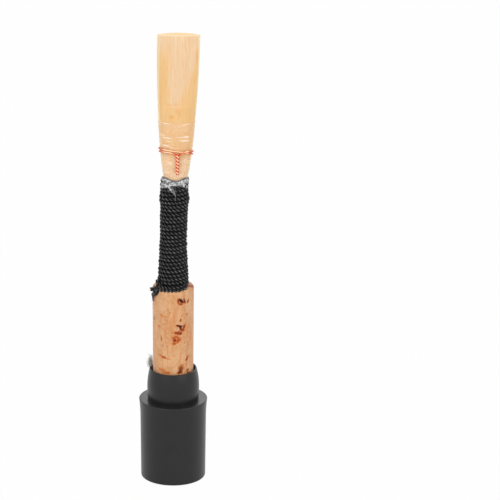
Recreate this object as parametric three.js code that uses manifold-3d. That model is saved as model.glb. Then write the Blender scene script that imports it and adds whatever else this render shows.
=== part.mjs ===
// Oboe reed standing in its moulded holder.
// Two scraped cane blades are bound with thread to a cork-covered brass staple. A clear film seals the blades
// above the binding, and a twisted copper wire holds them in shape.
// Millimetres, +Z up. The origin is the centre of the holder's underside, and the blades face -Y and +Y.

import * as THREE from "three";
import { mergeVertices } from "three/addons/utils/BufferGeometryUtils.js";
import Module from "manifold-3d";

const wasm = await Module();
wasm.setup();

// Clearance between pieces that touch, and how far a cut runs past what it cuts.
const SEAT_GAP = 0.04;

// Staple: a conical brass tube, round at the foot and pressed oval where the cane sits.
const STAPLE_LENGTH = 47;
const STAPLE_FOOT_DIAMETER = 5.7;
const STAPLE_TOP_DIAMETER = 2.66;
const STAPLE_WALL = 0.34;
const STAPLE_OVAL_LENGTH = 12;
const STAPLE_OVAL_SHARE = 0.09;

// Cork: a sleeve glued round the staple, sanded to a slight taper, with its top edge rounded.
const CORK_LENGTH = 27.8;
const CORK_DIAMETER = 7.02;
const CORK_TAPER = 0.3;
const CORK_EDGE = 0.34;

// Cane: two blades, tied on over the top of the staple and scraped thin towards the tip.
const BLADE_REACH = 24.65;
const CANE_BOUND_LENGTH = 10.5;
const CANE_THICKNESS = 0.58;
const BARK_THICKNESS = 0.09;
const BUTT_THICKNESS = 0.1;
const BUTT_BEVEL = 5;
const TIP_WIDTH = 6.9;
const TIP_THICKNESS = 0.1;
const TIP_OPENING = 1.36;
const TIP_CROWN = 0.14;
const THROAT_WIDTH = 3.82;
const BLADE_EDGE = 0.26;
const TIP_EDGE = 0.07;
const SCRAPE_LENGTH = 12.15;
const SCRAPE_STEP = 0.25;
const BLADE_SLIP = 0.26;
const BLADE_FLARE_POWER = 2.35;
const TIP_ARCH_POWER = 1.6;
const GIRTH_POWER = 0.84;

// Thread: a plain bed round the staple and the cane, with the crest of each turn wound over it. The bed is
// filled out below the cane's butt and swells a little above the cork. It stops short of the staple's end.
const THREAD_SHORT = 1.1;
const THREAD_BED = 0.07;
const THREAD_FILL = 0.2;
const THREAD_SWELL = 0.07;
const THREAD_SWELL_LENGTH = 5;
const THREAD_CREST = 0.26;
const THREAD_TURNS = 24;
const THREAD_RAMP = 1.6;
const KNOT_SIZE = 0.95;
const KNOT_STUB = 0.95;
const KNOT_TAIL = 1.75;

// Film: a clear strip wrapped round the blades, its end twisted into a collar that sits on top of the thread.
const FILM_THICKNESS = 0.07;
const FILM_REACH = 9.9;
const COLLAR_THICKNESS = 0.2;
const COLLAR_FRONT_THICKNESS = 0.34;
const COLLAR_HEIGHT = 1.4;
const COLLAR_FRONT_HEIGHT = 1.1;
const COLLAR_TAIL_WIDTH = 0.95;
const COLLAR_TAIL_LENGTH = 1.45;
const COLLAR_TAIL_OFFSET = 0.27;
const COLLAR_TAIL_THICKNESS = 0.06;

// Wire: two turns round the film, with both ends twisted together down the front.
const WIRE_DIAMETER = 0.26;
const WIRE_HEIGHT = 4.25;
const WIRE_TILT = THREE.MathUtils.degToRad(9);
const WIRE_NOD = THREE.MathUtils.degToRad(13);
const WIRE_SPREAD = 0.4;
const WIRE_TWIST_LENGTH = 3.4;
const WIRE_TWIST_OFFSET = 0.36;
const WIRE_TWIST_TURNS = 4.5;

// The hand-tied binding moves a little to one side above the cork, and the blades lean that way.
const BINDING_SHIFT = 0.4;
const BINDING_SHIFT_POWER = 3;
const BINDING_LEAN = THREE.MathUtils.degToRad(1.15);

// Holder: a moulded black stand with a neck for a travel tube to slip over, and a socket that grips the cork.
const HOLDER_BODY_HEIGHT = 14.3;
const HOLDER_NECK_HEIGHT = 5.3;
const HOLDER_SOCKET_DEPTH = 13;
const HOLDER_NECK_WALL = 0.88;
const HOLDER_SHOULDER = 1.18;
const HOLDER_FLARE = 0.2;
const HOLDER_FLARE_HEIGHT = 3.4;
const HOLDER_DRAFT = 0.1;
const HOLDER_FOOT_EDGE = 0.4;
const HOLDER_TOP_EDGE = 0.12;
const HOLDER_LIP_HEIGHT = 3.2;
const HOLDER_LIP_INSET = 0.43;
const HOLDER_MOUTH_FLARE = 0.2;
const HOLDER_MOUTH_DEPTH = 2.2;

// How finely the surfaces are faceted. A turn of the thread has as many steps as a ring of the binding.
const ROUND_SEGMENTS = 48;
const TUBE_POINTS = 32;
const GIRTH_POINTS = 24;
const BLADE_SPANS = 14;
const STAPLE_STATIONS = 10;
const BOUND_STATIONS = 5;
const BARK_STATIONS = 5;
const SCRAPE_STATIONS = 8;
const BED_STATIONS = 15;
const FILM_STATIONS = 8;
const THREAD_SIDES = 6;
const WIRE_SIDES = 6;
const EDGE_STEPS = 4;

const { lerp, smoothstep } = THREE.MathUtils;
const TURN = 2 * Math.PI;
const range = (count) => Array.from({ length: count }, (_, i) => i);
const stations = (from, to, count) => range(count).map((i) => lerp(from, to, i / (count - 1)));

// Heights in the reed's own frame, which starts at the staple's foot.
const CANE_BUTT = STAPLE_LENGTH - CANE_BOUND_LENGTH;
const CANE_TIP = STAPLE_LENGTH + BLADE_REACH;
const SCRAPE_START = CANE_TIP - SCRAPE_LENGTH;
const THREAD_END = STAPLE_LENGTH - THREAD_SHORT;
const THREAD_LENGTH = THREAD_END - CORK_LENGTH;
const BINDING_LENGTH = STAPLE_LENGTH - CORK_LENGTH;

// Closed surface over a row of rings with equal point counts. A closed row joins its last ring to its first,
// and an open one is capped at both ends.
function skin(rings, closed = false) {
  const count = rings[0].length;
  const index = [];
  const rows = closed ? rings.length : rings.length - 1;
  for (let row = 0; row < rows; row++) {
    const low = row * count;
    const high = ((row + 1) % rings.length) * count;
    for (let j = 0; j < count; j++) {
      const k = (j + 1) % count;
      index.push(low + j, low + k, high + k, low + j, high + k, high + j);
    }
  }
  if (!closed) {
    const last = (rings.length - 1) * count;
    capOf(rings[0]).forEach(([a, b, c]) => index.push(c, b, a));
    capOf(rings.at(-1)).forEach(([a, b, c]) => index.push(last + a, last + b, last + c));
  }
  const positions = rings.flat().flatMap((point) => point.toArray());
  const geometry = new THREE.BufferGeometry();
  geometry.setAttribute("position", new THREE.Float32BufferAttribute(positions, 3));
  geometry.setIndex(index);
  geometry.computeVertexNormals();
  return geometry;
}

// Triangles that fill one ring, found in the plane of the ring.
function capOf(ring) {
  const normal = new THREE.Vector3();
  ring.forEach((point, i) => {
    const next = ring[(i + 1) % ring.length];
    normal.add(new THREE.Vector3().crossVectors(point, next));
  });
  normal.normalize();
  const across = new THREE.Vector3().subVectors(ring[1], ring[0]).normalize();
  const up = new THREE.Vector3().crossVectors(normal, across);
  const flat = ring.map((point) => new THREE.Vector2(point.dot(across), point.dot(up)));
  return THREE.ShapeUtils.triangulateShape(flat, []);
}

// Round tube of the given diameter along a list of points, with a section square to the path at each of them.
function tubeAlong(points, diameter, sides) {
  const path = points.map((point, i) => {
    const before = points[Math.max(i - 1, 0)];
    const after = points[Math.min(i + 1, points.length - 1)];
    return { point, tangent: new THREE.Vector3().subVectors(after, before).normalize() };
  });
  const first = path[0].tangent;
  const helper = Math.abs(first.z) < Math.SQRT1_2 ? new THREE.Vector3(0, 0, 1) : new THREE.Vector3(1, 0, 0);
  let side = new THREE.Vector3().crossVectors(helper, first).normalize();
  const rings = path.map(({ point, tangent }) => {
    side = side.clone().addScaledVector(tangent, -side.dot(tangent)).normalize();
    const up = new THREE.Vector3().crossVectors(tangent, side);
    return range(sides).map((i) => {
      const angle = (TURN * (i + 0.5)) / sides;
      return point
        .clone()
        .addScaledVector(side, (Math.cos(angle) * diameter) / 2)
        .addScaledVector(up, (Math.sin(angle) * diameter) / 2);
    });
  });
  return skin(rings);
}

// Solid for a boolean from a closed geometry, and the geometry of a solid.
function solidFrom(geometry) {
  const bare = new THREE.BufferGeometry();
  bare.setAttribute("position", geometry.getAttribute("position").clone());
  if (geometry.index) bare.setIndex(geometry.index.clone());
  const merged = mergeVertices(bare);
  const vertProperties = new Float32Array(merged.getAttribute("position").array);
  const triVerts = new Uint32Array(merged.index.array);
  return new wasm.Manifold(new wasm.Mesh({ numProp: 3, vertProperties, triVerts }));
}

function geometryFrom(solid) {
  const mesh = solid.getMesh();
  const geometry = new THREE.BufferGeometry();
  geometry.setAttribute("position", new THREE.BufferAttribute(mesh.vertProperties.slice(), 3));
  geometry.setIndex(new THREE.BufferAttribute(mesh.triVerts.slice(), 1));
  geometry.computeVertexNormals();
  return geometry;
}

// Turned solid of a profile of [radius, height] points.
function turned(profile, segments) {
  const points = profile.map(([radius, height]) => new THREE.Vector2(radius, height));
  return new THREE.LatheGeometry(points, segments).rotateX(Math.PI / 2);
}

// Half the staple's width and depth over the outside of its wall: a cone that turns oval towards the top.
function stapleHalf(z) {
  const radius = lerp(STAPLE_FOOT_DIAMETER, STAPLE_TOP_DIAMETER, z / STAPLE_LENGTH) / 2;
  const oval = STAPLE_OVAL_SHARE * smoothstep(z, STAPLE_LENGTH - STAPLE_OVAL_LENGTH, STAPLE_LENGTH);
  return { across: radius * (1 + oval), deep: radius * (1 - oval) };
}

function stapleTube() {
  const heights = [0, ...stations(CORK_LENGTH, STAPLE_LENGTH, STAPLE_STATIONS)];
  const ringAt = (z, inset) => {
    const { across, deep } = stapleHalf(z);
    return range(TUBE_POINTS).map((i) => {
      const angle = (TURN * i) / TUBE_POINTS;
      return new THREE.Vector3(Math.cos(angle) * (across - inset), Math.sin(angle) * (deep - inset), z);
    });
  };
  const outside = heights.map((z) => ringAt(z, 0));
  const inside = heights.toReversed().map((z) => ringAt(z, STAPLE_WALL));
  return skin([...outside, ...inside], true);
}

// Outside of the cork, grown by a clearance where another piece is cut to lie on it.
function corkOutside(grown) {
  const top = CORK_LENGTH + grown;
  const topRadius = CORK_DIAMETER / 2 + grown;
  const footRadius = topRadius - CORK_TAPER / 2;
  const edge = range(EDGE_STEPS + 1).map((i) => {
    const angle = (TURN / 4) * (i / EDGE_STEPS);
    const back = CORK_EDGE * (1 - Math.cos(angle));
    return [topRadius - back, top - CORK_EDGE * (1 - Math.sin(angle))];
  });
  return [[footRadius, -grown], ...edge];
}

function corkSleeve() {
  const inside = (z) => [stapleHalf(z).across + SEAT_GAP, z];
  const foot = inside(0);
  return turned([foot, ...corkOutside(0), inside(CORK_LENGTH), foot], TUBE_POINTS);
}

// Half the blades' width at a height: a throat that flares to the tip, and a bevelled butt under the thread.
function bladeHalfWidth(z) {
  if (z >= STAPLE_LENGTH) {
    const left = Math.pow((CANE_TIP - z) / BLADE_REACH, BLADE_FLARE_POWER);
    return lerp(TIP_WIDTH, THROAT_WIDTH, left) / 2;
  }
  const butt = stapleHalf(CANE_BUTT).across + SEAT_GAP + BUTT_THICKNESS;
  return lerp(butt, THROAT_WIDTH / 2, smoothstep(z, CANE_BUTT, STAPLE_LENGTH));
}

// Thickness of the cane along its middle: bevelled at the butt, whole under the bark, then scraped thin.
function caneThickness(z) {
  if (z < SCRAPE_START) {
    return lerp(BUTT_THICKNESS, CANE_THICKNESS, smoothstep(z, CANE_BUTT, CANE_BUTT + BUTT_BEVEL));
  }
  const bare = CANE_THICKNESS - BARK_THICKNESS;
  const scraped = (z - SCRAPE_START) / SCRAPE_LENGTH;
  const cut = Math.min((z - SCRAPE_START) / SCRAPE_STEP, 1);
  return lerp(CANE_THICKNESS, bare, cut) - (bare - TIP_THICKNESS) * scraped;
}

// Half the gap between the gouged insides of the blades, which starts on the staple's oval.
function gougeHalfDepth(z) {
  const onStaple = stapleHalf(Math.min(z, STAPLE_LENGTH)).deep + SEAT_GAP;
  return lerp(onStaple, TIP_OPENING / 2, Math.max(z - STAPLE_LENGTH, 0) / BLADE_REACH);
}

// Section of one blade: over the bark from edge to edge, then back along the gouge. Side -1 is the front one.
function bladeRing(z, side) {
  const exposed = Math.max(z - STAPLE_LENGTH, 0) / BLADE_REACH;
  const half = bladeHalfWidth(z);
  const inner = gougeHalfDepth(z);
  const outer = inner + caneThickness(z);
  const meeting = SEAT_GAP / 2;
  const edge = Math.min(lerp(BLADE_EDGE, TIP_EDGE, exposed), caneThickness(z));
  const bearing = Math.min(edge + SEAT_GAP, half - stapleHalf(Math.min(z, STAPLE_LENGTH)).across - SEAT_GAP);
  const power = lerp(1, TIP_ARCH_POWER, exposed);
  const slip = -side * (BLADE_SLIP / 2) * exposed;
  const crown = z === CANE_TIP ? TIP_CROWN : 0;
  const arch = (angle) => Math.pow(Math.max(Math.cos(angle), 0), power);
  const place = (x, y, angle) => new THREE.Vector3(x + slip, side * y, z + crown * arch(angle));
  const angles = range(BLADE_SPANS + 1).map((i) => Math.PI * (i / BLADE_SPANS - 0.5));
  const bark = angles.map((angle) =>
    place(half * Math.sin(angle), lerp(meeting + edge, outer, arch(angle)), angle));
  const gouge = angles.map((angle) =>
    place((half - bearing) * Math.sin(angle), lerp(meeting, inner, arch(angle)), angle));
  const right = place(half, meeting, Math.PI / 2);
  const left = place(-half, meeting, Math.PI / 2);
  const ring = [...bark, right, ...gouge.toReversed(), left];
  return side < 0 ? ring : ring.toReversed();
}

function caneBlade(side) {
  const bound = stations(CANE_BUTT, STAPLE_LENGTH, BOUND_STATIONS);
  const bark = stations(STAPLE_LENGTH, SCRAPE_START, BARK_STATIONS).slice(1);
  const scraped = stations(SCRAPE_START + SCRAPE_STEP, CANE_TIP, SCRAPE_STATIONS);
  return skin([...bound, ...bark, ...scraped].map((z) => bladeRing(z, side)));
}

// What the thread, film and wire lie on: the staple below the cane's butt, and both blades above it. A power
// under one makes the oval squarer.
function girth(z) {
  const staple = stapleHalf(Math.min(z, STAPLE_LENGTH));
  const caneHeight = Math.max(z, CANE_BUTT);
  const cane = {
    across: bladeHalfWidth(caneHeight) + SEAT_GAP,
    deep: gougeHalfDepth(caneHeight) + caneThickness(caneHeight),
  };
  const onCane = smoothstep(z, CANE_BUTT - THREAD_RAMP, CANE_BUTT);
  return {
    across: lerp(staple.across, cane.across, onCane),
    deep: lerp(staple.deep, cane.deep, onCane),
    power: lerp(1, GIRTH_POWER, onCane),
  };
}

// Point at a share of a turn round that oval, a distance outside it. The turn starts at +X and goes by +Y.
function girthPoint(z, turn, outside) {
  const { across, deep, power } = girth(z);
  const bow = (value) => Math.sign(value) * Math.pow(Math.abs(value), power);
  const x = (across + outside) * bow(Math.cos(TURN * turn));
  const y = (deep + outside) * bow(Math.sin(TURN * turn));
  return new THREE.Vector3(x, y, z);
}

const girthRing = (z, outside) => range(GIRTH_POINTS).map((i) => girthPoint(z, i / GIRTH_POINTS, outside));

// Distances out from the cane and staple at which the thread's bed ends and its turns run.
function bedOutside(z) {
  const fill = THREAD_FILL * (1 - smoothstep(z, CANE_BUTT - THREAD_RAMP, CANE_BUTT));
  const swell = THREAD_SWELL * (1 - smoothstep(z, CORK_LENGTH, CORK_LENGTH + THREAD_SWELL_LENGTH));
  return SEAT_GAP + THREAD_BED + fill + swell;
}

const turnsCentre = (z) => bedOutside(z) + SEAT_GAP + THREAD_CREST / 2;
const turnsOutside = (z) => turnsCentre(z) + THREAD_CREST / 2;

function threadBed() {
  const heights = stations(CORK_LENGTH + SEAT_GAP, THREAD_END, BED_STATIONS);
  const outside = heights.map((z) => girthRing(z, bedOutside(z)));
  const inside = heights.toReversed().map((z) => girthRing(z, SEAT_GAP));
  return skin([...outside, ...inside], true);
}

// The thread leaves the knot at the front left and climbs to the collar, one step of each turn at a time.
const KNOT_TURN = 14 / GIRTH_POINTS;
const THREAD_PITCH = (THREAD_LENGTH - THREAD_CREST - 2 * SEAT_GAP) / THREAD_TURNS;

function threadPath() {
  const start = CORK_LENGTH + SEAT_GAP + THREAD_CREST / 2;
  const wound = range(THREAD_TURNS * GIRTH_POINTS + 1).map((step) => {
    const turns = step / GIRTH_POINTS;
    const z = start + THREAD_PITCH * turns;
    return girthPoint(z, KNOT_TURN + turns, turnsCentre(z));
  });
  const onward = (from, to) => {
    const straight = new THREE.Vector3().subVectors(to, from).setLength(THREAD_CREST);
    return straight.add(to);
  };
  return [onward(wound[1], wound[0]), ...wound, onward(wound.at(-2), wound.at(-1))];
}

// Least clear distance between turns of the thread, measured from each point to those of the turns beside it.
function leastGap(path, diameter) {
  let least = Infinity;
  path.forEach((point, i) => {
    for (let j = i + GIRTH_POINTS / 2; j < Math.min(i + 2 * GIRTH_POINTS, path.length); j++) {
      least = Math.min(least, point.distanceTo(path[j]));
    }
  });
  return least - diameter;
}

function threadTurns() {
  const path = threadPath();
  console.log(`least gap between turns of the thread: ${leastGap(path, THREAD_CREST).toFixed(2)} mm`);
  return tubeAlong(path, THREAD_CREST, THREAD_SIDES);
}

// Tapered bar with a flattened end, for the cut ends of the thread.
function cutEnd(from, to, width, thickness) {
  const along = new THREE.Vector3().subVectors(to, from);
  const length = along.length();
  const bar = new THREE.CylinderGeometry(width / 2, (width * 2) / 3, length, 8);
  bar.scale(1, 1, thickness / width).translate(0, length / 2, 0);
  const turn = new THREE.Quaternion().setFromUnitVectors(new THREE.Vector3(0, 1, 0), along.normalize());
  return bar.applyQuaternion(turn).translate(from.x, from.y, from.z);
}

// The thread is tied off in a knot on the cork's shoulder, with one end cut short and one laid down the cork.
function threadKnot() {
  const angle = TURN * (KNOT_TURN - 1 / GIRTH_POINTS);
  const out = new THREE.Vector3(Math.cos(angle), Math.sin(angle), 0);
  const centre = out.clone().multiplyScalar(CORK_DIAMETER / 2 - KNOT_SIZE / 3);
  centre.z = CORK_LENGTH + KNOT_SIZE / 6;
  const lump = new THREE.SphereGeometry(KNOT_SIZE / 2, 12, 8).translate(centre.x, centre.y, centre.z);
  const stubEnd = centre.clone().addScaledVector(out, KNOT_STUB);
  const tailEnd = out.clone().multiplyScalar(CORK_DIAMETER / 2 + THREAD_CREST / 2).setZ(centre.z - KNOT_TAIL);
  const stub = cutEnd(centre, stubEnd, KNOT_SIZE / 2, THREAD_CREST);
  const tail = cutEnd(centre, tailEnd, KNOT_SIZE / 2, THREAD_CREST);
  const cork = turned([[0, -SEAT_GAP], ...corkOutside(SEAT_GAP), [0, CORK_LENGTH + SEAT_GAP]], TUBE_POINTS);
  const windingHeights = [CORK_LENGTH, CORK_LENGTH + KNOT_SIZE];
  const winding = skin(windingHeights.map((z) => girthRing(z, turnsOutside(z) + SEAT_GAP)));
  const knot = solidFrom(lump).add(solidFrom(stub)).add(solidFrom(tail));
  return geometryFrom(knot.subtract(solidFrom(cork)).subtract(solidFrom(winding)));
}

function filmWrap() {
  const heights = stations(THREAD_END + SEAT_GAP, STAPLE_LENGTH + FILM_REACH, FILM_STATIONS);
  const outside = heights.map((z) => girthRing(z, SEAT_GAP + FILM_THICKNESS));
  const inside = heights.toReversed().map((z) => girthRing(z, SEAT_GAP));
  return skin([...outside, ...inside], true);
}

// The film's twisted end: a collar round the blades that sits on the thread's last turn, and a pointed tail.
// It is thicker and lower in front and behind than at the blades' edges.
function filmCollar() {
  const onFilm = FILM_THICKNESS + 2 * SEAT_GAP;
  const low = THREAD_END + SEAT_GAP;
  const ringAt = (share, thicknessShare) =>
    range(GIRTH_POINTS).map((i) => {
      const turn = i / GIRTH_POINTS;
      const front = Math.pow(Math.sin(TURN * turn), 2);
      const height = lerp(COLLAR_HEIGHT, COLLAR_FRONT_HEIGHT, front);
      const thickness = lerp(COLLAR_THICKNESS, COLLAR_FRONT_THICKNESS, front);
      return girthPoint(low + height * share, turn, onFilm + thickness * thicknessShare);
    });
  const outside = [ringAt(0, 1), ringAt(0.6, 1), ringAt(1, 0.6)];
  const inside = [ringAt(1, 0), ringAt(0, 0)];
  const collar = skin([...outside, ...inside], true);
  return geometryFrom(solidFrom(collar).add(solidFrom(collarTail(low))));
}

// The tail starts inside the collar and hangs down over the front of the thread.
function collarTail(collarLow) {
  const top = collarLow + COLLAR_FRONT_HEIGHT / 2;
  const tip = collarLow - COLLAR_TAIL_LENGTH;
  const face = girth(collarLow).deep + turnsOutside(THREAD_END) + SEAT_GAP + COLLAR_TAIL_THICKNESS;
  const shape = new THREE.Shape([
    new THREE.Vector2(COLLAR_TAIL_OFFSET - COLLAR_TAIL_WIDTH, top),
    new THREE.Vector2(COLLAR_TAIL_OFFSET, tip),
    new THREE.Vector2(COLLAR_TAIL_OFFSET, top),
  ]);
  const tail = new THREE.ExtrudeGeometry(shape, { depth: COLLAR_TAIL_THICKNESS, bevelEnabled: false });
  return tail.rotateX(Math.PI / 2).translate(0, COLLAR_TAIL_THICKNESS - face, 0);
}

// One wire: up one strand of the twist, twice round the blades, over its own start and down the other strand.
function bindingWire() {
  const onFilm = FILM_THICKNESS + 2 * SEAT_GAP + WIRE_DIAMETER / 2;
  const spacing = WIRE_DIAMETER + SEAT_GAP;
  const low = STAPLE_LENGTH + WIRE_HEIGHT;
  const lift = (x, y) => -x * Math.tan(WIRE_TILT) - y * Math.tan(WIRE_NOD);
  const twistTop = low + lift(WIRE_TWIST_OFFSET, -girth(low).deep - onFilm) - spacing / 2;
  const front = 0.75 + WIRE_TWIST_OFFSET / (TURN * girth(low).across);
  const steps = 2 * TUBE_POINTS;
  const loop = range(steps - 3).map((i) => {
    const share = (i + 2) / steps;
    const crossing = smoothstep(share, 1 - 4.5 / steps, 1 - 2 / steps);
    const spread = WIRE_SPREAD * Math.max(-Math.sin(TURN * share), 0);
    const level = low + 2 * spacing * share + spread;
    const flat = girthPoint(level, front - 2 * share, onFilm);
    return girthPoint(level + lift(flat.x, flat.y), front - 2 * share, onFilm + crossing * spacing);
  });
  const twistFace = girth(twistTop - WIRE_TWIST_LENGTH / 2).deep + onFilm + spacing / 2;
  const strand = (phase) => {
    const count = Math.round(WIRE_TWIST_TURNS * 8);
    return range(count + 1).map((i) => {
      const angle = phase + (TURN * WIRE_TWIST_TURNS * i) / count;
      const x = WIRE_TWIST_OFFSET + (Math.cos(angle) * spacing) / 2;
      const y = -twistFace + (Math.sin(angle) * spacing) / 2;
      return new THREE.Vector3(x, y, twistTop - (WIRE_TWIST_LENGTH * i) / count);
    });
  };
  const leftStrand = strand(Math.PI).toReversed();
  const rightStrand = strand(0);
  return tubeAlong([...leftStrand, ...loop, ...rightStrand], WIRE_DIAMETER, WIRE_SIDES);
}

// Moves each level of the binding and the blades sideways: not at all on the cork, then more and more up to
// the staple's end, and from there at a steady slope along the blades.
function leaned(geometry) {
  const places = geometry.getAttribute("position");
  for (let i = 0; i < places.count; i++) {
    const rise = Math.max(places.getZ(i) - CORK_LENGTH, 0);
    const bent = Math.min(rise / BINDING_LENGTH, 1);
    const straight = Math.max(rise - BINDING_LENGTH, 0);
    const shift = BINDING_SHIFT * Math.pow(bent, BINDING_SHIFT_POWER) + Math.tan(BINDING_LEAN) * straight;
    places.setX(i, places.getX(i) + shift);
  }
  geometry.computeVertexNormals();
  return geometry;
}

// The holder is turned: body, shoulder, neck with a drawn-in lip, and a blind socket that fits the cork.
const SOCKET_RADIUS = CORK_DIAMETER / 2 + SEAT_GAP;
const NECK_RADIUS = SOCKET_RADIUS + HOLDER_NECK_WALL;
const BODY_RADIUS = NECK_RADIUS + HOLDER_SHOULDER;
const HOLDER_HEIGHT = HOLDER_BODY_HEIGHT + HOLDER_NECK_HEIGHT;
const SOCKET_FLOOR = HOLDER_HEIGHT - HOLDER_SOCKET_DEPTH;

function holder() {
  const footRadius = BODY_RADIUS - HOLDER_DRAFT;
  const foot = range(EDGE_STEPS + 1).map((i) => {
    const angle = (TURN / 4) * (i / EDGE_STEPS);
    return [footRadius - HOLDER_FOOT_EDGE * (1 - Math.sin(angle)), HOLDER_FOOT_EDGE * (1 - Math.cos(angle))];
  });
  const flare = range(EDGE_STEPS + 1).map((i) => {
    const share = i / EDGE_STEPS;
    const height = HOLDER_BODY_HEIGHT - HOLDER_TOP_EDGE - HOLDER_FLARE_HEIGHT * (1 - share);
    return [BODY_RADIUS + HOLDER_FLARE * share * share, height];
  });
  const topEdge = [BODY_RADIUS + HOLDER_FLARE - HOLDER_TOP_EDGE, HOLDER_BODY_HEIGHT];
  const lip = range(EDGE_STEPS + 1).map((i) => {
    const share = i / EDGE_STEPS;
    const height = HOLDER_HEIGHT - HOLDER_LIP_HEIGHT * (1 - share);
    return [NECK_RADIUS - HOLDER_LIP_INSET * share * share, height];
  });
  const socket = [
    [SOCKET_RADIUS + HOLDER_MOUTH_FLARE, HOLDER_HEIGHT],
    [SOCKET_RADIUS, HOLDER_HEIGHT - HOLDER_MOUTH_DEPTH],
    [SOCKET_RADIUS, SOCKET_FLOOR],
    [0, SOCKET_FLOOR],
  ];
  const profile = [[0, 0], ...foot, ...flare, topEdge, [NECK_RADIUS, HOLDER_BODY_HEIGHT], ...lip, ...socket];
  return turned(profile, ROUND_SEGMENTS);
}

function material(color, roughness, metalness = 0) {
  return new THREE.MeshStandardMaterial({ color, roughness, metalness });
}

const brass = material(0xc9a24a, 0.35, 1);
const copper = material(0xe8714a, 0.35, 1);
const cork = material(0xd9a679, 0.85);
const cane = material(0xf0cf98, 0.6);
const thread = material(0x242424, 0.75);
const blackMoulding = material(0x343434, 0.5);
const film = material(0xe9e6e0, 0.25);
Object.assign(film, { transparent: true, opacity: 0.35 });

function part(name, geometry, finish) {
  const mesh = new THREE.Mesh(geometry, finish);
  mesh.name = name;
  return mesh;
}

const reed = new THREE.Group();
reed.position.z = SOCKET_FLOOR + SEAT_GAP;
reed.add(
  part("staple_tube", leaned(stapleTube()), brass),
  part("cork_sleeve", corkSleeve(), cork),
  part("cane_blade_front", leaned(caneBlade(-1)), cane),
  part("cane_blade_back", leaned(caneBlade(1)), cane),
  part("thread_bed", leaned(threadBed()), thread),
  part("thread_turns", leaned(threadTurns()), thread),
  part("thread_knot", threadKnot(), thread),
  part("film_wrap", leaned(filmWrap()), film),
  part("film_collar", leaned(filmCollar()), film),
  part("binding_wire", leaned(bindingWire()), copper),
);

const oboeReed = new THREE.Group();
oboeReed.add(part("holder", holder(), blackMoulding), reed);

export default oboeReed;
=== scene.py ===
import bpy
import numpy as np
from mathutils import Matrix, Vector


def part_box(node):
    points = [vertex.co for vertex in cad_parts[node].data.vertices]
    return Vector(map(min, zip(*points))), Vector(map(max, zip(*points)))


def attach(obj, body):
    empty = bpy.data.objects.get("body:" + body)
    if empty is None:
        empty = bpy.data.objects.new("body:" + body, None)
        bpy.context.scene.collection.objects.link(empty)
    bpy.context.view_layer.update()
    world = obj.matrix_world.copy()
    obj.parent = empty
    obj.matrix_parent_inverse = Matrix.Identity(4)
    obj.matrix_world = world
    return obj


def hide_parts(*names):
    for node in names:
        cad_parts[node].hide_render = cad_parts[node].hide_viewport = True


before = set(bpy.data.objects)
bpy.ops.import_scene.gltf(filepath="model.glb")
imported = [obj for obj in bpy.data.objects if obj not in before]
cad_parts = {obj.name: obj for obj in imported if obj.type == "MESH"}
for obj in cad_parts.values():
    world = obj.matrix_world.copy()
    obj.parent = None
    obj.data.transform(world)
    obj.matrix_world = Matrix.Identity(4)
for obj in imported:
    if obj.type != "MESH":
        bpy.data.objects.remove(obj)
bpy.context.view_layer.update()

# The holder: the stand that the reed is stored in, one black thermoplastic moulding with a satin skin. It has
# a neck for a travel tube to slip over and a blind socket that grips the cork.

MM = 0.001
TURN = 2 * np.pi


def seen_as(red, green, blue):
    """Linear colour of the 0 to 255 levels that a screen shows."""
    levels = np.array([red, green, blue]) / 255
    linear = np.where(levels <= 0.04045, levels / 12.92, ((levels + 0.055) / 1.055) ** 2.4)
    return (*linear.tolist(), 1.0)


class Pen:
    """One output of a shader node. Sums on it are written as Python, and each operator adds its Math node."""

    def __init__(self, tree, socket=None):
        self.tree, self.socket = tree, socket

    def node(self, kind, settings=(), values=(), output=0):
        """Adds a node of any kind: first its settings, then what its sockets hold or are linked to."""
        made = self.tree.nodes.new(kind)
        for name, setting in dict(settings).items():
            setattr(made, name, setting)
        for name, value in dict(values).items():
            if isinstance(value, Pen):
                self.tree.links.new(value.socket, made.inputs[name])
            else:
                made.inputs[name].default_value = value
        return Pen(self.tree, made.outputs[output])

    def math(self, operation, *terms):
        return self.node("ShaderNodeMath", {"operation": operation}, enumerate(terms))

    def __add__(self, other):
        return self.math("ADD", self, other)

    def __sub__(self, other):
        return self.math("SUBTRACT", self, other)

    def __rsub__(self, other):
        return self.math("SUBTRACT", other, self)

    def __mul__(self, other):
        return self.math("MULTIPLY", self, other)

    __radd__, __rmul__ = __add__, __mul__

    def between(self, low, high):
        """0 up to the first value, 1 from the second on, and a smooth rise between them."""
        limits = {"Value": self, "From Min": low, "From Max": high}
        return self.node("ShaderNodeMapRange", {"interpolation_type": "SMOOTHSTEP"}, limits)

    def mixed(self, low, high):
        """Colour from the first to the second as this value goes from 0 to 1. Each is a Pen or the 0 to 255
        levels that a screen shows."""
        low, high = (end if isinstance(end, Pen) else seen_as(*end) for end in (low, high))
        return self.node("ShaderNodeMix", {"data_type": "RGBA"}, {0: self, 6: low, 7: high}, output=2)

    def clouds(self, per_mm, detail=2.0, shift=0.0):
        """Noise from 0 to 1 with this many clouds to a millimetre along the object's x, y and z."""
        place = self.node("ShaderNodeTexCoord", output="Object")
        scale = [count / MM for count in np.broadcast_to(per_mm, 3)]
        stretch = {"Vector": place, "Scale": scale, "Location": (shift,) * 3}
        moved = self.node("ShaderNodeMapping", (), stretch)
        return self.node("ShaderNodeTexNoise", (), {"Vector": moved, "Scale": 1.0, "Detail": detail})

    def layer(self, name):
        """Value that the mesh carries on its points."""
        return self.node("ShaderNodeAttribute", {"attribute_name": name}, output="Fac")

    def bump(self, height, depth_mm, strength=1.0):
        """Normal of a surface whose height of 0 to 1 stands for this many millimetres."""
        relief = {"Height": height, "Distance": depth_mm * MM, "Strength": strength}
        return self.node("ShaderNodeBump", (), relief)


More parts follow.
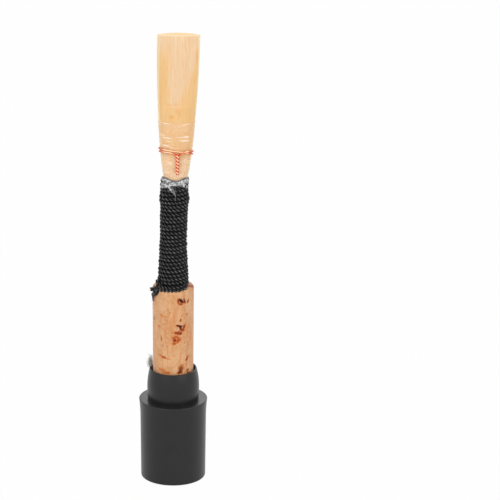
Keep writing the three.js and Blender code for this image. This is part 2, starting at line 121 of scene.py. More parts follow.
def material(name, constants, varying):
    """Principled material: sockets that hold one value, and those that a function of a Pen works out."""
    made = bpy.data.materials.new(name)
    made.use_nodes = True
    shader = made.node_tree.nodes["Principled BSDF"]
    for socket, value in constants.items():
        shader.inputs[socket].default_value = value
    for socket, value in varying(Pen(made.node_tree)).items():
        made.node_tree.links.new(value.socket, shader.inputs[socket])
    return made


def skin(grid, closed):
    """Faces over a stack of rings: each row of the grid is one, and turns anticlockwise seen from the next. A
    closed stack joins its last ring to its first. An open one gets strips of faces across both of these."""
    rows, columns = grid.shape[:2]
    low = np.arange(rows if closed else rows - 1)[:, None] * columns
    high = (low + columns) % (rows * columns)
    here = np.arange(columns)[None, :]
    beside = (here + 1) % columns
    corners = [low + here, low + beside, high + beside, high + here]
    faces = np.stack(corners, axis=-1).reshape(-1, 4).tolist()
    if closed:
        return faces
    left = np.arange(1, (columns - 1) // 2)
    strips = np.stack([left, left + 1, columns - left - 1, columns - left], axis=-1).tolist()
    strips.append([0, 1, columns - 1])
    if columns % 2 == 0:
        strips.append([columns // 2 - 1, columns // 2, columns // 2 + 1])
    top = (rows - 1) * columns
    first = [strip[::-1] for strip in strips]
    return faces + first + [[top + corner for corner in strip] for strip in strips]


def placed(name, data):
    """Object at the origin that holds a mesh, a lamp or a camera."""
    made = bpy.data.objects.new(name, data)
    bpy.context.scene.collection.objects.link(made)
    return made


def piece(name, stacks, finish, body, replaced=(), closed=False, sharp=50, layers=()):
    """Object of these stacks of rings in millimetres, with its material, the body that it rides on and the
    CAD nodes that it stands for. Edges sharper than the angle stay crisp. Layers are values that the points
    carry."""
    faces, start = [], 0
    for stack in stacks:
        faces += [[corner + start for corner in face] for face in skin(stack, closed)]
        start += stack.shape[0] * stack.shape[1]
    points = np.vstack([stack.reshape(-1, 3) for stack in stacks])
    mesh = bpy.data.meshes.new(name)
    mesh.from_pydata((points * MM).tolist(), [], faces)
    for layer, grids in dict(layers).items():
        values = np.hstack([np.ravel(grid) for grid in grids])
        mesh.attributes.new(layer, "FLOAT", "POINT").data.foreach_set("value", values)
    mesh.polygons.foreach_set("use_smooth", [True] * len(faces))
    mesh.set_sharp_from_angle(angle=np.radians(sharp))
    mesh.materials.append(finish)
    made = placed(name, mesh)
    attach(made, body)
    if replaced:
        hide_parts(*replaced)
    return made


def xyz(x, y, z):
    """Points with these coordinates, on the grid that they span together."""
    return np.stack(np.broadcast_arrays(x, y, z), axis=-1)


def arc(centre, radii, start, end, steps):
    """Points of [radius, height] on an ellipse about a centre, from one angle to another in degrees."""
    angle = np.radians(np.linspace(start, end, steps))
    return np.array(centre) + np.stack([np.cos(angle), np.sin(angle)], axis=-1) * radii


def turned(profile, segments):
    """Rings of a profile of [radius, height] points turned about the upright axis."""
    angle = np.arange(segments) * TURN / segments
    radius, height = profile[:, :1], profile[:, 1:]
    return xyz(radius * np.cos(angle), radius * np.sin(angle), height)


def bowed(radius, bow, end, drop, share):
    """Points of [radius, height] on a wall that bows out with the square of the share of the way to its end,
    from a start that lies this much lower."""
    share = share[:, None]
    return np.hstack([radius + bow * share**2, end - drop * (1 - share)])


BODY_RADIUS = 5.61
BODY_HEIGHT = 14.15
BODY_DRAFT = 0.1
BODY_FLARE = 0.2
FLARE_HEIGHT = 3.4
FOOT_EDGE = 0.28
TOP_EDGE = 0.12
NECK_RADIUS = 4.43
NECK_RELIEF = 0.1
RELIEF_HEIGHT = 1.5
LIP_HEIGHT = 3.2
LIP_INSET = 0.43
RIM_EDGE = 0.07
SOCKET_RADIUS = 3.55
SOCKET_DEPTH = 13.0
MOUTH_FLARE = 0.2
MOUTH_DEPTH = 2.2
HOLDER_COLUMNS = 168

holder_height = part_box("holder")[1][2] / MM
flare_top = BODY_HEIGHT - TOP_EDGE
flare = bowed(BODY_RADIUS, BODY_FLARE, flare_top, FLARE_HEIGHT, np.linspace(0, 1, 14))
relief = bowed(NECK_RADIUS, -NECK_RELIEF, BODY_HEIGHT, -RELIEF_HEIGHT, np.linspace(1, 0, 8))
lip = bowed(NECK_RADIUS, -LIP_INSET, holder_height - RIM_EDGE, LIP_HEIGHT, np.linspace(0, 1, 16))
rim_out = NECK_RADIUS - LIP_INSET - RIM_EDGE
mouth = SOCKET_RADIUS + MOUTH_FLARE
holder_profile = np.vstack([
    arc((BODY_RADIUS - BODY_DRAFT - FOOT_EDGE, FOOT_EDGE), FOOT_EDGE, -90, 0, 12),
    flare,
    arc((BODY_RADIUS + BODY_FLARE - TOP_EDGE, flare_top), TOP_EDGE, 0, 90, 7),
    relief,
    lip,
    arc((rim_out, holder_height - RIM_EDGE), RIM_EDGE, 20, 90, 4),
    [[mouth + RIM_EDGE, holder_height], [mouth, holder_height - RIM_EDGE]],
    [[SOCKET_RADIUS, holder_height - MOUTH_DEPTH], [SOCKET_RADIUS, holder_height - SOCKET_DEPTH]],
])


def moulding_skin(pen):
    patches = pen.clouds(0.35, detail=3.0)
    grain = pen.clouds(11.0, detail=2.0)
    scuffs = pen.clouds((2.2, 2.2, 0.5), detail=4.0, shift=7.0).between(0.55, 0.8)
    return {
        "Base Color": patches.mixed((30, 30, 31), (36, 36, 37)),
        "Roughness": 0.28 + 0.08 * patches + 0.1 * scuffs,
        "Normal": pen.bump(grain, 0.006),
    }


black_moulding = material("black_moulding", {"Specular IOR Level": 0.32}, moulding_skin)
holder_rings = turned(holder_profile, HOLDER_COLUMNS)
piece("holder_moulding", [holder_rings], black_moulding, "holder", ["holder"])

# The staple: a conical tube rolled from thin brass and pressed oval at its top, where the cane is tied to it.
# It is hidden, apart from its rim down between the blades and its foot when the reed is pulled out.

STAPLE_LENGTH = 47.0
STAPLE_FOOT = 5.7
STAPLE_TOP = 2.66
OVAL_LENGTH = 12.0
OVAL_SHARE = 0.09
SEAT_GAP = 0.04

reed_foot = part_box("staple_tube")[0][2] / MM


def ease(value, low, high):
    """0 below the first limit, 1 above the second, and a smooth step between them."""
    share = np.clip((value - low) / (high - low), 0, 1)
    return share * share * (3 - 2 * share)


def lerp(start, end, share):
    """Value a share of the way from one to the other."""
    return start + (end - start) * share


def staple_half(z):
    """Half the staple's width and depth: a cone whose round section turns oval towards its top."""
    radius = lerp(STAPLE_FOOT, STAPLE_TOP, z / STAPLE_LENGTH) / 2
    oval = OVAL_SHARE * ease(z, STAPLE_LENGTH - OVAL_LENGTH, STAPLE_LENGTH)
    return radius * (1 + oval), radius * (1 - oval)


def brass_skin(pen):
    tarnish = pen.clouds(0.7, detail=4.0)
    drawn = pen.clouds((9.0, 9.0, 0.4), detail=2.0)
    return {
        "Base Color": tarnish.mixed((206, 168, 92), (176, 134, 66)),
        "Roughness": 0.24 + 0.2 * tarnish,
        "Normal": pen.bump(drawn, 0.004),
    }


staple_brass = material("staple_brass", {"Metallic": 1.0}, brass_skin)
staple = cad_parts["staple_tube"]
staple.data.materials.clear()
staple.data.materials.append(staple_brass)

# The cork: a sheet of natural cork glued round the staple and sanded to a cylinder with a rounded top edge.
# The bark's pores run through it as dark pits with crumbling, rust-coloured rims.

CORK_LENGTH = 27.8
CORK_RADIUS = 3.51
CORK_TAPER = 0.15
CORK_EDGE = 0.34
CORK_COLUMNS = 216
CORK_GIRTH = TURN * CORK_RADIUS
FINE_CORK = 15.2
PLACED_REACH = 4.6
NOISE_ROWS = 89

# Pits and stains on the front: place round the cork from the middle of the front, height above the table,
# half width, half height and slant, then depth, darkness and rust. Lengths are hundredths of a millimetre,
# slants are degrees, darkness and rust are percent. In a pale spot the last three are negative, and each
# takes so many percent off.
CORK_MARKS = np.array([
    [5, 2950, 42, 220, -20, 0, 0, 28], [132, 3254, 48, 42, 0, 8, 14, 85],
    [108, 3250, 18, 15, 0, -80, -70, -60], [88, 3260, 15, 38, 0, 10, 50, 95],
    [106, 3302, 32, 16, -8, 14, 65, 90], [142, 3212, 44, 15, 4, 10, 55, 95],
    [150, 3266, 42, 32, -30, 30, 100, 60], [184, 3240, 30, 22, -35, 30, 100, 60],
    [197, 3288, 17, 26, 20, 18, 70, 90], [218, 3238, 20, 34, 20, 22, 85, 80],
    [278, 3245, 17, 34, -12, 10, 60, 90], [-59, 3067, 17, 15, 0, 5, 50, 30],
    [161, 3004, 16, 15, 0, 5, 42, 30], [253, 3012, 19, 24, -20, 3, 62, 40],
    [207, 2974, 16, 13, 0, 5, 42, 40], [133, 2930, 17, 30, -20, 10, 62, 70],
    [97, 2900, 10, 9, 0, 3, 25, 30], [-220, 3002, 26, 26, 30, 4, 5, 62],
    [-165, 2993, 62, 16, -8, 2, 0, 42], [-272, 2800, 26, 20, -20, 4, 6, 62],
    [-220, 2786, 45, 13, -25, 2, 0, 42], [86, 2832, 33, 20, -10, 20, 72, 95],
    [114, 2816, 28, 18, -30, 26, 90, 80], [137, 2790, 28, 40, 0, 34, 100, 60],
    [164, 2750, 48, 28, 8, 12, 45, 95], [203, 2798, 19, 48, -8, 12, 60, 85],
    [176, 2816, 22, 20, 0, 8, 30, 80], [93, 2784, 24, 18, 0, -80, -90, -80],
    [164, 2793, 10, 12, 0, -80, -70, -60], [75, 2702, 60, 27, -4, 10, 42, 95],
    [122, 2694, 34, 32, 15, 14, 62, 85], [42, 2708, 11, 20, 0, 12, 62, 80],
    [92, 2720, 12, 13, 0, 14, 70, 80], [-12, 2708, 22, 20, 0, 2, 5, 55],
    [52, 2592, 76, 54, -8, 5, 6, 88], [62, 2604, 22, 13, 0, -80, -30, -50],
    [20, 2574, 30, 20, 10, 14, 70, 70], [98, 2576, 18, 36, 25, 6, 25, 85],
    [14, 2520, 32, 28, 20, 5, 10, 85], [-217, 2585, 21, 54, 0, 2, 64, 40],
    [360, 2590, 15, 85, -8, 4, 12, 55], [310, 2440, 12, 50, 0, 2, 8, 40],
    [402, 2420, 12, 30, 0, 3, 30, 40], [-415, 2905, 24, 40, 0, 3, 70, 40],
    [-228, 2276, 44, 15, -28, 5, 6, 70], [-175, 2254, 50, 20, -14, 7, 10, 88],
    [-105, 2242, 44, 15, -4, 2, 0, 50], [259, 2214, 23, 42, -20, 7, 35, 100],
    [300, 2244, 13, 32, -24, 5, 12, 65], [252, 2116, 20, 34, 0, 5, 34, 50],
    [142, 2046, 46, 80, -16, 12, 68, 70], [120, 1985, 42, 38, 10, 16, 76, 80],
    [280, 1995, 25, 32, -10, 8, 40, 95], [292, 1950, 27, 27, 20, 10, 55, 85],
    [332, 1950, 18, 28, -30, 6, 25, 80], [-195, 2010, 85, 34, -14, 2, 0, 62],
    [-100, 1980, 55, 28, 0, 3, 3, 72], [490, 3440, 55, 16, 0, 0, 10, 100],
    [-23, 3240, 10, 160, 0, 2, 4, 30],
]) / (100, 100, 100, 100, 1, 100, 100, 100)


def ripple(across, up, seed, cells=97):
    """Smooth noise from -0.5 to 0.5: random levels at whole numbers, blended between the four round a point.
    It repeats after this many cells across, so that it closes on a ring."""
    lattice = np.random.default_rng(seed).random((cells, NOISE_ROWS))
    column, row = np.floor(across).astype(int), np.floor(up).astype(int)
    u, v = ease(across - column, 0, 1), ease(up - row, 0, 1)
    low, high = ([lattice[(column + right) % cells, (row + above) % NOISE_ROWS] for right in (0, 1)]
                 for above in (0, 1))
    return lerp(lerp(*low, u), lerp(*high, u), v) - 0.5


def strewn_marks(count, seed):
    """More marks of the same kinds, thrown over the sides, the back and the part in the socket."""
    draw = np.random.default_rng(seed)
    thrown = []
    for _ in range(count):
        at_back = draw.random() < 0.8
        around = draw.uniform(*((PLACED_REACH, CORK_GIRTH - PLACED_REACH) if at_back else (-4, 4)))
        size, kind = draw.uniform(0.1, 0.55), draw.random()
        height = draw.uniform(7.5, 34.2 if at_back else 18.6)
        dark = draw.uniform(0.5, 1) if kind < 0.35 else draw.uniform(0, 0.3)
        rust = draw.uniform(0.3, 0.95)
        slant = draw.uniform(-30, 30)
        depth = 0.04 + 0.28 * dark * size / 0.55
        thrown.append([around, height, size, size * draw.uniform(0.4, 1.3), slant, depth, dark, rust])
    return np.array(thrown)


def from_middle(across, up, half_width, half_height, slant=0.0):
    """How far a place lies from the middle of a slanted ellipse, 1 on its outline."""
    tilt = np.radians(slant)
    along = (across * np.cos(tilt) + up * np.sin(tilt)) / half_width
    above = (up * np.cos(tilt) - across * np.sin(tilt)) / half_height
    return np.hypot(along, above)


def cork_surface(around, height, marks):
    """Depth, darkness and rust at places round the cork: every mark is an ellipse with a ragged edge, full
    inside and fading over its rim, and the strongest mark at a place counts."""
    layers = np.zeros((3, *around.shape))
    ragged = 0.75 * ripple(around / CORK_GIRTH * 110, height * 5, 3, 110)
    crumbs = 0.45 * ripple(around / CORK_GIRTH * 280, height * 13, 4, 280)
    for place, level, half_width, half_height, slant, *strengths in marks:
        across = (around - place + CORK_GIRTH / 2) % CORK_GIRTH - CORK_GIRTH / 2
        far = from_middle(across, height - level, half_width, half_height, slant) + ragged + crumbs
        inside, stained = 1 - ease(far, 0.62, 1.12), 1 - ease(far, 0.8, 1.55)
        if min(strengths) < 0:
            layers = [layer * (1 + inside * strength) for layer, strength in zip(layers, strengths)]
        else:
            layers = [np.maximum(layer, strength * cover)
                      for layer, strength, cover in zip(layers, strengths, (inside, inside, stained))]
    return layers


cork_top = CORK_LENGTH - CORK_EDGE
fine_from = CORK_LENGTH - FINE_CORK
cork_levels = np.hstack([
    np.linspace(0, fine_from, 72, endpoint=False),
    np.linspace(fine_from, cork_top, 172),
])
cork_wall = np.stack([CORK_RADIUS - CORK_TAPER * (1 - cork_levels / CORK_LENGTH), cork_levels], axis=-1)
cork_round = arc((CORK_RADIUS - CORK_EDGE, cork_top), CORK_EDGE, 0, 90, 8)[1:]
cork_bore = [[staple_half(z)[0] + SEAT_GAP, z] for z in (CORK_LENGTH, 0.0)]
cork_rings = turned(np.vstack([cork_wall, cork_round, cork_bore]), CORK_COLUMNS)
cork_rings[..., 2] += reed_foot
cork_angle = np.arctan2(cork_rings[..., 0], -cork_rings[..., 1])
cork_marks = np.vstack([CORK_MARKS, strewn_marks(46, 11)])
pit_depth, pit_dark, pit_rust = cork_surface(cork_angle * CORK_RADIUS, cork_rings[..., 2], cork_marks)
uneven = 0.018 * ripple(cork_angle / TURN * 26, cork_rings[..., 2] * 0.9, 8, 26)
inward = (pit_depth - uneven) / np.hypot(cork_rings[..., 0], cork_rings[..., 1])
inward[len(cork_wall) + len(cork_round) - 1:] = 0
cork_rings[..., :2] *= (1 - inward)[..., None]


def cork_skin(pen):
    blotches = pen.clouds((0.75, 0.75, 0.5), detail=4.0)
    cells = pen.clouds((5.0, 5.0, 3.2), detail=3.0, shift=3.0)
    rings = pen.clouds((1.5, 1.5, 0.16), detail=2.0, shift=9.0)
    dust = pen.clouds((3.2, 3.2, 2.2), detail=2.0, shift=21.0).between(0.62, 0.74)
    tan = blotches.between(0.3, 0.7).mixed((204, 144, 91), (223, 171, 123))
    warm = rings.between(0.42, 0.66).mixed(tan, (209, 138, 84))
    grained = (cells.between(0.36, 0.68) * 0.6).mixed(warm, (232, 188, 144))
    flecked = (dust * 0.45).mixed(grained, (174, 108, 62))
    stain = pen.layer("rust") * (0.7 + 0.6 * cells)
    stained = stain.between(0.0, 0.7).mixed(flecked, (212, 128, 66))
    rusty = stain.between(0.5, 1.05).mixed(stained, (172, 66, 20))
    pitted = pen.layer("dark").between(0.2, 1.0).mixed(rusty, (58, 8, 2))
    return {
        "Base Color": pitted,
        "Roughness": 0.62 + 0.25 * cells,
        "Normal": pen.bump(cells + blotches * 0.4, 0.03, 0.7),
    }


cork = material("sanded_cork", {"Specular IOR Level": 0.2, "Sheen Weight": 0.34}, cork_skin)
piece("cork_sheath", [cork_rings], cork, "reed", ["cork_sleeve"], closed=True,
      layers={"dark": pit_dark, "rust": pit_rust})

# The blades: two halves of one gouged and shaped strip of cane, tied over the top of the staple. The bark is
# left on near the thread and scraped away in a long tongue towards the thin tip.

BLADE_REACH = 24.65
CANE_BUTT = 36.5
CANE_TIP = STAPLE_LENGTH + BLADE_REACH
CANE_THICKNESS = 0.58
BUTT_THICKNESS = 0.1
BUTT_BEVEL = 5.0
TIP_WIDTH = 6.9
TIP_THICKNESS = 0.1
TIP_OPENING = 1.36
TIP_CROWN = 0.14
CROWN_LENGTH = 0.9
THROAT_WIDTH = 3.82
FULLNESS = 0.12
BLADE_EDGE = 0.26
TIP_EDGE = 0.07
SCRAPE_START = CANE_TIP - 12.15
SCRAPE_STEP = 0.25
WHOLE_SCRAPE = (66.6, 70.8)
BARK_THICKNESS = 0.09
BLADE_SLIP = 0.26
FLARE_POWER = 2.35
ARCH_POWER = 1.6
MEETING = 0.003
BINDING_SHIFT = 0.4
SHIFT_POWER = 3
BINDING_LEAN = np.radians(1.15)


def half_width(z):
    """Half the blades' width: a narrow throat that flares to the tip, and a butt under the thread."""
    left = np.clip((CANE_TIP - z) / BLADE_REACH, 0, 1) ** FLARE_POWER
    butt = staple_half(CANE_BUTT)[0] + SEAT_GAP + BUTT_THICKNESS
    bound = lerp(butt, THROAT_WIDTH / 2, ease(z, CANE_BUTT, STAPLE_LENGTH))
    return np.where(z >= STAPLE_LENGTH, lerp(TIP_WIDTH, THROAT_WIDTH, left) / 2, bound)


def fullness(z):
    """How much further out than that half width the cane swells under the film, above the thread."""
    return FULLNESS * ease(z, 45.5, 49.5) * (1 - ease(z, 50, 60))


def cane_thickness(z):
    """Thickness along the middle: bevelled at the butt, whole under the bark, then scraped to a thin tip."""
    whole = lerp(BUTT_THICKNESS, CANE_THICKNESS, ease(z, CANE_BUTT, CANE_BUTT + BUTT_BEVEL))
    bare = CANE_THICKNESS - BARK_THICKNESS
    scraped = (z - SCRAPE_START) / (CANE_TIP - SCRAPE_START)
    cut = np.clip((z - SCRAPE_START) / SCRAPE_STEP, 0, 1)
    thinned = lerp(CANE_THICKNESS, bare, cut) - (bare - TIP_THICKNESS) * scraped
    return np.where(z < SCRAPE_START, whole, thinned)


def gouge_half(z):
    """Half the gap between the gouged insides, from the staple's oval up to the opening at the tip."""
    on_staple = staple_half(np.minimum(z, STAPLE_LENGTH))[1] + SEAT_GAP
    return lerp(on_staple, TIP_OPENING / 2, np.maximum(z - STAPLE_LENGTH, 0) / BLADE_REACH)


def stand(points):
    """Puts points of the reed's own frame where it stands: the hand-tied binding moves to one side, more and
    more from the cork up to the staple's end, and at a steady slope along the blades."""
    bent = np.clip((points[..., 2] - CORK_LENGTH) / (STAPLE_LENGTH - CORK_LENGTH), 0, 1)
    straight = np.maximum(points[..., 2] - STAPLE_LENGTH, 0)
    sideways = BINDING_SHIFT * bent**SHIFT_POWER + np.tan(BINDING_LEAN) * straight
    return xyz(points[..., 0] + sideways, points[..., 1], points[..., 2] + reed_foot)


def blade(side, spans=60):
    """Rings of one blade. Across each an angle runs from edge to edge: the bark's half width goes with its
    sine, and its rise above the edge with a power of its cosine. The ring comes back along the gouge, which
    repeats the arch one thickness lower. Side -1 is the front blade."""
    levels = np.hstack([
        np.linspace(CANE_BUTT, STAPLE_LENGTH, 16, endpoint=False),
        np.linspace(STAPLE_LENGTH, CANE_TIP - CROWN_LENGTH, 150, endpoint=False),
        np.linspace(CANE_TIP - CROWN_LENGTH, CANE_TIP, 14),
    ])[:, None]
    angle = np.linspace(-0.5, 0.5, spans + 1)[None, :] * np.pi
    exposed = np.maximum(levels - STAPLE_LENGTH, 0) / BLADE_REACH
    half, inner = half_width(levels), gouge_half(levels)
    thickness = cane_thickness(levels)
    edge = np.minimum(lerp(BLADE_EDGE, TIP_EDGE, exposed), thickness)
    spare = half - staple_half(np.minimum(levels, STAPLE_LENGTH))[0] - SEAT_GAP
    bearing = np.minimum(edge + SEAT_GAP, spare)
    arch = np.maximum(np.cos(angle), 0) ** lerp(1, ARCH_POWER, exposed)
    crown = TIP_CROWN * ease(levels, CANE_TIP - CROWN_LENGTH, CANE_TIP)
    slip = -side * (BLADE_SLIP / 2) * exposed
    scar = tool_marks(half * np.sin(angle), levels, side) * arch
    half = half + fullness(levels)
    height = levels + crown * arch
    bark = xyz(half * np.sin(angle) + slip,
               side * (lerp(MEETING + edge, inner + thickness, arch) - scar), height)
    gouge = xyz((half - bearing) * np.sin(angle) + slip, side * lerp(MEETING, inner, arch), height)
    left, right = (xyz(slip + reach, side * MEETING, levels) for reach in (-half, half))
    ring = np.hstack([left, bark, right, gouge[:, ::-1]])
    values = blade_layers(ring[..., 0] - slip, levels, side)
    values["inside"] = (np.arange(ring.shape[1]) > spans + 1) + 0.0 * values["edge"]
    if side > 0:
        back = -np.arange(ring.shape[1])
        ring, values = ring[:, back], {layer: value[:, back] for layer, value in values.items()}
    return ring, values


def scraped_share(x, z, side):
    """How far the bark is scraped away, 0 to 1: a tongue round the middle that starts pointed above the bark,
    widens upwards and takes in the whole width near the tip."""
    above = np.maximum(z - SCRAPE_START, 0)
    middle = -side * lerp(-0.6, 0.5, above / 6.9)
    reach = 0.42 + 0.57 * above**0.53
    wavy = 0.5 * ripple(x * 3 + 50, z * 0.5, 17 + side)
    tongue = 1 - ease(np.abs(x - middle) + wavy, reach - 0.6, reach + 0.6)
    start = ease(z, SCRAPE_START - 0.7, SCRAPE_START + 0.9)
    return np.maximum(tongue * start, ease(z + 2 * wavy, *WHOLE_SCRAPE))


def tool_marks(x, z, side):
    """How far the knife has cut below the plain arch: the edge of the scraped tongue, and long shallow
    strokes along the grain."""
    strokes = ripple(x * 4.5 + 60, z * 0.16, 23 + side)
    fibres = ripple(x * 14 + 60, z * 0.3, 29 + side)
    fade = 1 - 0.6 * ease(z, 66, CANE_TIP)
    return fade * (0.03 * scraped_share(x, z, side) + 0.016 * strokes * ease(z, 57, 62) + 0.008 * fibres)


# Flecks in the bark of the front blade: place across, height, half width and half height in hundredths of a
# millimetre, and strength in percent.
CANE_FLECKS = np.array([
    [-95, 5785, 50, 36, 90], [-61, 5692, 26, 20, 60], [-130, 5987, 55, 28, 35],
    [-23, 5887, 22, 50, 45], [17, 5817, 7, 110, 80], [49, 5857, 6, 90, 65],
    [77, 5937, 6, 90, 60], [-35, 6000, 34, 50, 42], [300, 6810, 15, 170, 85],
    [85, 6060, 7, 130, 40], [30, 6010, 6, 90, 35], [125, 6100, 8, 110, 35],
    [195, 6200, 10, 160, 30],
]) / 100


def blade_layers(x, z, side):
    """Values on the points of a blade: how far it is scraped, how close to a side edge, and its flecks."""
    # The edge value covers the side edges and the tip, which the cane's skin paints paler as painted light.
    at_tip = ease(z, CANE_TIP - 0.3, CANE_TIP - 0.06)
    near_edge = np.maximum(ease(np.abs(x) / half_width(z), 0.9, 1.0), at_tip)
    fleck = np.zeros(x.shape)
    for across, level, wide, high, strength in CANE_FLECKS:
        far = from_middle(x * -side - across, z - level, wide, high)
        fleck = np.maximum(fleck, strength * (1 - ease(far, 0.3, 1.25)))
    return {"scraped": scraped_share(x, z, side), "edge": near_edge, "fleck": fleck}


def cane_skin(pen):
    grain = pen.clouds((5.5, 0.8, 0.16), detail=3.0)
    fibres = pen.clouds((17.0, 2.0, 0.5), detail=2.0, shift=5.0)
    patches = pen.clouds((0.55, 0.4, 0.14), detail=2.0, shift=13.0)
    bark = patches.between(0.35, 0.65).mixed((241, 199, 142), (238, 194, 132))
    streaked = (grain.between(0.5, 0.72) * 0.5).mixed(bark, (243, 196, 118))
    heart = patches.between(0.35, 0.65).mixed((239, 205, 164), (242, 211, 174))
    veined = (grain.between(0.46, 0.66) * 0.7).mixed(heart, (239, 195, 146))
    both = pen.layer("scraped").mixed(streaked, veined)
    lined = (fibres.between(0.52, 0.7) * 0.34).mixed(both, (214, 164, 108))
    flecked = pen.layer("fleck").mixed(lined, (237, 174, 98))
    # Painted light: the edges, the tip and the gouge are made paler where light comes through the thin cane.
    edged = (pen.layer("edge") * 0.75).mixed(flecked, (255, 232, 197))
    gouged = pen.layer("inside").mixed(edged, (255, 234, 200))
    return {
        "Base Color": gouged,
        "Emission Color": pen.layer("inside").mixed((0, 0, 0), (255, 176, 80)),
        "Roughness": 0.42 + 0.2 * grain + 0.12 * pen.layer("scraped"),
        "Normal": pen.bump(grain + fibres * 0.5, 0.012, 0.6),
    }


# The weak emission inside, the pale gouge and the pale edges and tip are painted light: they stand for light
# that comes through the thin cane there.
cane = material("scraped_cane", {"Subsurface Weight": 0.3, "Subsurface Radius": (0.8, 0.75, 0.6),
                                 "Subsurface Scale": 0.3 * MM, "Emission Strength": 0.06}, cane_skin)
for blade_name, side in (("front", -1), ("back", 1)):
    rings, blade_values = blade(side)
    piece(f"cane_{blade_name}", [stand(rings)], cane, "reed", [f"cane_blade_{blade_name}"],
          sharp=38, layers=blade_values)

# The thread: one long two-strand black cord that holds the blades on the staple. It is wound in close turns
# from the cork's edge up to the staple's end, over a plain bed of inner turns.

THREAD_END = 45.9
THREAD_BED = 0.07
THREAD_FILL = 0.2
THREAD_SWELL = 0.07
SWELL_LENGTH = 5.0
THREAD_CREST = 0.26
THREAD_RAMP = 1.6
THREAD_TURNS = 27.4
THREAD_START = 14 / 24
CORD_HALF = (0.29, 0.325)
LUMP_LEVEL = 43.2
LUMP_SIZE = 0.17
TOP_DIP = 0.14
TOP_SHIFT = 0.12
PLY_LAY = 1.27
GIRTH_POWER = 0.84


def girth_point(z, turn, outside):
    """Point at a share of a turn round the binding, from +X by +Y, a distance outside the staple or the cane
    under it. The section is an oval, made squarer on the cane by a power under one."""
    staple_across, staple_deep = staple_half(np.minimum(z, STAPLE_LENGTH))
    cane_z = np.maximum(z, CANE_BUTT)
    on_cane = ease(z, CANE_BUTT - THREAD_RAMP, CANE_BUTT)
    across = lerp(staple_across, half_width(cane_z) + SEAT_GAP, on_cane) + outside
    deep = lerp(staple_deep, gouge_half(cane_z) + cane_thickness(cane_z), on_cane) + outside
    power = lerp(1, GIRTH_POWER, on_cane)
    bow = lambda value: np.sign(value) * np.abs(value) ** power
    return xyz(across * bow(np.cos(TURN * turn)), deep * bow(np.sin(TURN * turn)), z)


def bed_outside(z):
    """How far out the bed reaches: one layer, filled out below the cane's butt, and a little more where the
    thread is tied off over the cork."""
    fill = THREAD_FILL * (1 - ease(z, CANE_BUTT - THREAD_RAMP, CANE_BUTT))
    swell = THREAD_SWELL * (1 - ease(z, CORK_LENGTH, CORK_LENGTH + SWELL_LENGTH))
    return SEAT_GAP + THREAD_BED + fill + swell


def unit(vectors):
    """The same directions at a length of one."""
    return vectors / np.linalg.norm(vectors, axis=-1, keepdims=True)


def way_out(turn):
    """Level direction away from the reed's axis at a share of a turn."""
    return xyz(np.cos(TURN * turn), np.sin(TURN * turn), 0)


def square_to(path, outward):
    """Two directions square to a path at each of its points: away from the core, and along the core."""
    tangent = unit(np.gradient(path, axis=0))
    out = unit(outward - tangent * (outward * tangent).sum(-1, keepdims=True))
    return out, np.cross(tangent, out)


def tube(path, outward, half_out, half_side, sides):
    """Rings of an oval tube along a path, with one half width away from the core and one along the core."""
    out, beside = square_to(path, outward)
    angle = (np.arange(sides) * TURN / sides)[:, None]
    half_out, half_side = (np.broadcast_to(half, len(path))[:, None, None] for half in (half_out, half_side))
    ring = half_out * np.cos(angle) * out[:, None] + half_side * np.sin(angle) * beside[:, None]
    return path[:, None] + ring


def cord(path, outward, half, lay, sides=7, count=2, turned_by=0.0, offset=0.57, thickness=0.45):
    """The strands of a cord along a path: tubes that run round it once every lay, right-handed. The cord has
    one half size away from the core and one along it. With each strand's rings comes how far out their points
    lie, from -1 on the side of the core to 1 at the crest."""
    step = np.linalg.norm(np.diff(path, axis=0), axis=-1)
    along = np.hstack([0, np.cumsum(step)])
    out, beside = square_to(path, outward)
    half_out, half_side = (np.broadcast_to(value, len(path))[:, None] for value in half)
    made = []
    for strand in range(count):
        angle = (turned_by + strand / count + along / lay)[:, None] * TURN
        middle = path + offset * (out * half_out * np.cos(angle) + beside * half_side * np.sin(angle))
        rings = tube(middle, outward, half_out[:, 0] * thickness, half_side[:, 0] * thickness, sides)
        made.append((rings, ((rings - path[:, None]) * out[:, None]).sum(-1) / half_out))
    return made


def cord_piece(name, cords, finish, replaced, plain=()):
    """Piece of twisted cords on the reed, with any plain tubes beside them."""
    stacks, crests = zip(*cords, *((rings, np.zeros(rings.shape[:2])) for rings in plain))
    piece(name, stacks, finish, "reed", replaced, layers={"crest": crests})


cord_steps = np.linspace(0, 1, 4400)
cord_turn = THREAD_START + THREAD_TURNS * cord_steps
cord_low = CORK_LENGTH + SEAT_GAP + CORD_HALF[1] * 0.9
cord_high = STAPLE_LENGTH - CORD_HALF[1]
cord_level = lerp(cord_low, cord_high, cord_steps) + 0.11 * ripple(cord_turn * 3, 0, 31)
cord_out = bed_outside(cord_level) + SEAT_GAP + THREAD_CREST - CORD_HALF[0]
cord_out += LUMP_SIZE * (1 - ease(np.abs(cord_level - LUMP_LEVEL), 0.2, 1.4))
cord_out -= TOP_DIP * ease(cord_level, THREAD_END, STAPLE_LENGTH)
cord_out += 0.05 + 0.1 * ripple(cord_turn * 4.3, 5, 37)
cord_path = girth_point(cord_level, cord_turn, cord_out)
cord_path[:, 0] -= TOP_SHIFT * ease(cord_level, 42.5, 45.5)
lay_drift = 0.8 * ripple(cord_turn * 1.7, 9, 41)
slack = 1 + 0.2 * ripple(cord_turn * 6.1, 3, 43)
cord_half = (CORD_HALF[0] * slack, CORD_HALF[1] * slack)
cord_strands = cord(stand(cord_path), way_out(cord_turn), cord_half, PLY_LAY, turned_by=lay_drift)

bed_levels = np.linspace(CORK_LENGTH + SEAT_GAP, THREAD_END, 40)[:, None]
bed_turn = np.arange(96)[None, :] / 96
bed_out = girth_point(bed_levels, bed_turn, bed_outside(bed_levels) - 0.09)
bed_in = girth_point(bed_levels[::-1], bed_turn, 0.0)
thread_bed = stand(np.vstack([bed_out, bed_in]))


